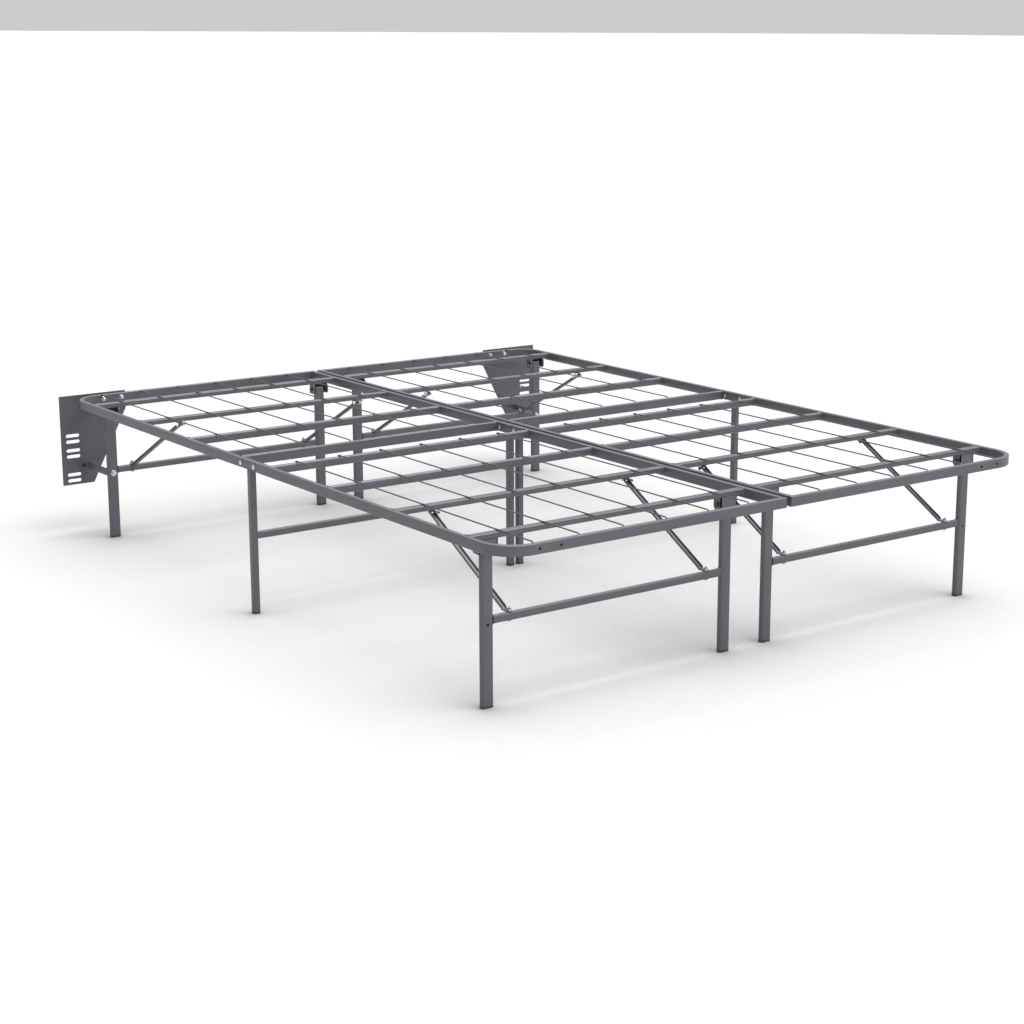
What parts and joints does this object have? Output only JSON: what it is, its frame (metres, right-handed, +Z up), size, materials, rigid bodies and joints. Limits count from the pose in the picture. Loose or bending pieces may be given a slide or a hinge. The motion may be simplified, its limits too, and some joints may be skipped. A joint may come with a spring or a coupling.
{
  "type": "folding platform bed frame",
  "caption": "Folding queen-size steel platform bed frame: two side-by-side wire-deck halves that fold at mid length, on folding braced legs, with headboard brackets.",
  "frame": {"origin": "centre of the bounding box's footprint, on the floor", "axes": "+X across the bed, +Y along it towards the head, where the headboard brackets are, +Z up"},
  "size_m": [1.584, 2.0354, 0.3755],
  "materials": {
    "painted_steel": "semi-gloss grey powder coat",
    "black_plastic": "matte moulded"
  },
  "bodies": {
    "head_sections": {"left_head_outer_rail": "painted_steel", "left_head_inner_rail": "painted_steel", "left_head_fold_rail": "painted_steel", "left_head_leg_slat": "painted_steel", "left_head_brace_slat": "painted_steel", "left_head_wire_deck": "painted_steel", "left_headboard_bracket": "painted_steel", "left_headboard_strut": "painted_steel", "right_head_outer_rail": "painted_steel", "right_head_inner_rail": "painted_steel", "right_head_fold_rail": "painted_steel", "right_head_leg_slat": "painted_steel", "right_head_brace_slat": "painted_steel", "right_head_wire_deck": "painted_steel", "right_headboard_bracket": "painted_steel", "right_headboard_strut": "painted_steel"},
    "left_middle_legs": {"left_outer_hinge_link": "painted_steel", "left_inner_hinge_link": "painted_steel", "left_middle_leg_frame": "painted_steel", "left_middle_inner_glide": "black_plastic", "left_middle_outer_glide": "black_plastic"},
    "left_foot_section": {"left_foot_outer_rail": "painted_steel", "left_foot_inner_rail": "painted_steel", "left_foot_fold_slat": "painted_steel", "left_foot_leg_slat": "painted_steel", "left_foot_brace_slat": "painted_steel", "left_foot_wire_deck": "painted_steel"},
    "left_head_legs": {"left_head_leg_frame": "painted_steel", "left_head_inner_glide": "black_plastic", "left_head_outer_glide": "black_plastic"},
    "left_foot_legs": {"left_foot_leg_frame": "painted_steel", "left_foot_inner_glide": "black_plastic", "left_foot_outer_glide": "black_plastic"},
    "left_head_inner_brace": {"left_head_inner_brace": "painted_steel"},
    "left_head_outer_brace": {"left_head_outer_brace": "painted_steel"},
    "left_foot_inner_brace": {"left_foot_inner_brace": "painted_steel"},
    "left_foot_outer_brace": {"left_foot_outer_brace": "painted_steel"},
    "right_middle_legs": {"right_outer_hinge_link": "painted_steel", "right_inner_hinge_link": "painted_steel", "right_middle_leg_frame": "painted_steel", "right_middle_inner_glide": "black_plastic", "right_middle_outer_glide": "black_plastic"},
    "right_foot_section": {"right_foot_outer_rail": "painted_steel", "right_foot_inner_rail": "painted_steel", "right_foot_fold_slat": "painted_steel", "right_foot_leg_slat": "painted_steel", "right_foot_brace_slat": "painted_steel", "right_foot_wire_deck": "painted_steel"},
    "right_head_legs": {"right_head_leg_frame": "painted_steel", "right_head_inner_glide": "black_plastic", "right_head_outer_glide": "black_plastic"},
    "right_foot_legs": {"right_foot_leg_frame": "painted_steel", "right_foot_inner_glide": "black_plastic", "right_foot_outer_glide": "black_plastic"},
    "right_head_inner_brace": {"right_head_inner_brace": "painted_steel"},
    "right_head_outer_brace": {"right_head_outer_brace": "painted_steel"},
    "right_foot_inner_brace": {"right_foot_inner_brace": "painted_steel"},
    "right_foot_outer_brace": {"right_foot_outer_brace": "painted_steel"}
  },
  "joints": [
    {"name": "left_fold", "type": "hinge", "parent": "head_sections", "child": "left_middle_legs", "pos_m": [-0.3835, 0.04435, 0.36], "axis": [1, 0, 0], "range_deg": [0, 80]},
    {"name": "left_foot_section_fold", "type": "hinge", "parent": "left_middle_legs", "child": "left_foot_section", "pos_m": [-0.3835, -0.01865, 0.36], "axis": [1, 0, 0], "range_deg": [0, 80]},
    {"name": "left_head_legs_fold", "type": "hinge", "parent": "head_sections", "child": "left_head_legs", "pos_m": [-0.3845, 0.88635, 0.342], "axis": [-1, 0, 0], "range_deg": [0, 90]},
    {"name": "left_foot_legs_fold", "type": "hinge", "parent": "left_foot_section", "child": "left_foot_legs", "pos_m": [-0.3845, -0.88065, 0.342], "axis": [1, 0, 0], "range_deg": [0, 90]},
    {"name": "left_head_inner_brace_fold", "type": "hinge", "parent": "head_sections", "child": "left_head_inner_brace", "pos_m": [-0.117, 0.58835, 0.352], "axis": [1, 0, 0], "range_deg": [0, 28.9]},
    {"name": "left_foot_inner_brace_fold", "type": "hinge", "parent": "left_foot_section", "child": "left_foot_inner_brace", "pos_m": [-0.117, -0.59165, 0.352], "axis": [-1, 0, 0], "range_deg": [0, 29.7]},
    {"name": "left_head_outer_brace_fold", "type": "hinge", "parent": "head_sections", "child": "left_head_outer_brace", "pos_m": [-0.648, 0.58835, 0.352], "axis": [1, 0, 0], "range_deg": [0, 28.9]},
    {"name": "left_foot_outer_brace_fold", "type": "hinge", "parent": "left_foot_section", "child": "left_foot_outer_brace", "pos_m": [-0.648, -0.59165, 0.352], "axis": [-1, 0, 0], "range_deg": [0, 29.7]},
    {"name": "right_fold", "type": "hinge", "parent": "head_sections", "child": "right_middle_legs", "pos_m": [0.3835, 0.04435, 0.36], "axis": [1, 0, 0], "range_deg": [0, 80]},
    {"name": "right_foot_section_fold", "type": "hinge", "parent": "right_middle_legs", "child": "right_foot_section", "pos_m": [0.3835, -0.01865, 0.36], "axis": [1, 0, 0], "range_deg": [0, 80]},
    {"name": "right_head_legs_fold", "type": "hinge", "parent": "head_sections", "child": "right_head_legs", "pos_m": [0.3845, 0.88635, 0.342], "axis": [-1, 0, 0], "range_deg": [0, 90]},
    {"name": "right_foot_legs_fold", "type": "hinge", "parent": "right_foot_section", "child": "right_foot_legs", "pos_m": [0.3845, -0.88065, 0.342], "axis": [1, 0, 0], "range_deg": [0, 90]},
    {"name": "right_head_inner_brace_fold", "type": "hinge", "parent": "head_sections", "child": "right_head_inner_brace", "pos_m": [0.117, 0.58835, 0.352], "axis": [1, 0, 0], "range_deg": [0, 28.9]},
    {"name": "right_foot_inner_brace_fold", "type": "hinge", "parent": "right_foot_section", "child": "right_foot_inner_brace", "pos_m": [0.117, -0.59165, 0.352], "axis": [-1, 0, 0], "range_deg": [0, 29.7]},
    {"name": "right_head_outer_brace_fold", "type": "hinge", "parent": "head_sections", "child": "right_head_outer_brace", "pos_m": [0.648, 0.58835, 0.352], "axis": [1, 0, 0], "range_deg": [0, 28.9]},
    {"name": "right_foot_outer_brace_fold", "type": "hinge", "parent": "right_foot_section", "child": "right_foot_outer_brace", "pos_m": [0.648, -0.59165, 0.352], "axis": [-1, 0, 0], "range_deg": [0, 29.7]}
  ],
  "couplings": [
    {"joint": "left_foot_section_fold", "follows": "left_fold", "ratio": 1},
    {"joint": "left_head_legs_fold", "follows": "left_fold", "ratio": 1.125},
    {"joint": "left_foot_legs_fold", "follows": "left_fold", "ratio": 1.125},
    {"joint": "left_head_inner_brace_fold", "follows": "left_fold", "ratio": 0.36124},
    {"joint": "left_foot_inner_brace_fold", "follows": "left_fold", "ratio": 0.37124},
    {"joint": "left_head_outer_brace_fold", "follows": "left_fold", "ratio": 0.36124},
    {"joint": "left_foot_outer_brace_fold", "follows": "left_fold", "ratio": 0.37124},
    {"joint": "right_foot_section_fold", "follows": "right_fold", "ratio": 1},
    {"joint": "right_head_legs_fold", "follows": "right_fold", "ratio": 1.125},
    {"joint": "right_foot_legs_fold", "follows": "right_fold", "ratio": 1.125},
    {"joint": "right_head_inner_brace_fold", "follows": "right_fold", "ratio": 0.36124},
    {"joint": "right_foot_inner_brace_fold", "follows": "right_fold", "ratio": 0.37124},
    {"joint": "right_head_outer_brace_fold", "follows": "right_fold", "ratio": 0.36124},
    {"joint": "right_foot_outer_brace_fold", "follows": "right_fold", "ratio": 0.37124}
  ]
}
